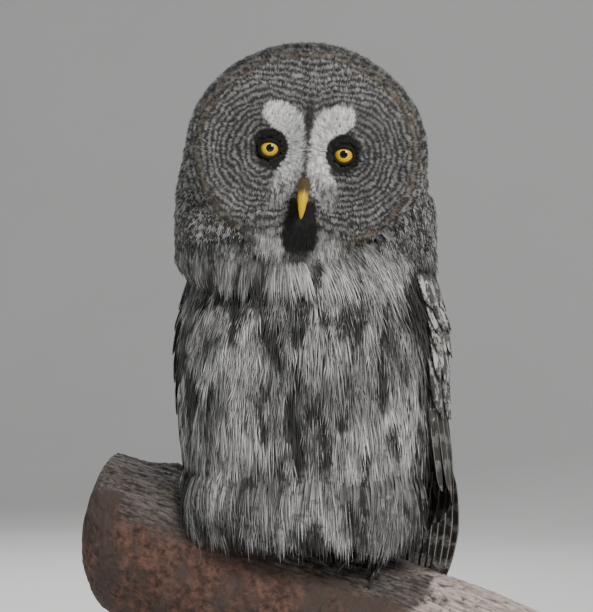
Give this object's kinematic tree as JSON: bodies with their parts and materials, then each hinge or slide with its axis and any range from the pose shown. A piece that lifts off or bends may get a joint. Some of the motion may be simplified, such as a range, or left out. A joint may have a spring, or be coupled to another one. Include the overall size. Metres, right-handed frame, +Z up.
{
  "type": "great grey owl on a branch",
  "caption": "Life-size great grey owl standing on a cut length of thick branch, held by a plain display stand with a flat base and short rods.",
  "frame": {"origin": "middle of the stand base's underside, on the floor", "axes": "+Z up; the owl's body faces -Y, with its left wing towards +X"},
  "size_m": [0.4045, 0.236, 0.656],
  "materials": {
    "plumage": "soft grey feathers, streaked and barred darker",
    "face_plumage": "short fine feathers with dark rings round each eye",
    "flight_feathers": "smooth dark grey-brown vanes, barred paler",
    "toe_feathers": "short dense grey feathers over the toes",
    "iris": "wet gloss, yellow with a small black pupil",
    "beak_horn": "smooth yellow horn",
    "claw_horn": "black horn",
    "bark": "rough weathered bark and bare grey wood",
    "stand_paint": "satin black paint"
  },
  "bodies": {
    "root": {"head": "plumage", "neck": "plumage", "torso": "plumage", "leg_left": "plumage", "leg_right": "plumage", "facial_disc": "face_plumage", "wing_left": "flight_feathers", "wing_right": "flight_feathers", "tail": "flight_feathers", "foot_left": "toe_feathers", "foot_right": "toe_feathers", "eye_left": "iris", "eye_right": "iris", "beak_upper": "beak_horn", "beak_lower": "beak_horn", "claw_left_1": "claw_horn", "claw_left_2": "claw_horn", "claw_left_3": "claw_horn", "claw_left_4": "claw_horn", "claw_right_1": "claw_horn", "claw_right_2": "claw_horn", "claw_right_3": "claw_horn", "claw_right_4": "claw_horn", "perch": "bark", "stand_base": "stand_paint", "stand_rod_left": "stand_paint", "stand_rod_right": "stand_paint"}
  },
  "joints": []
}
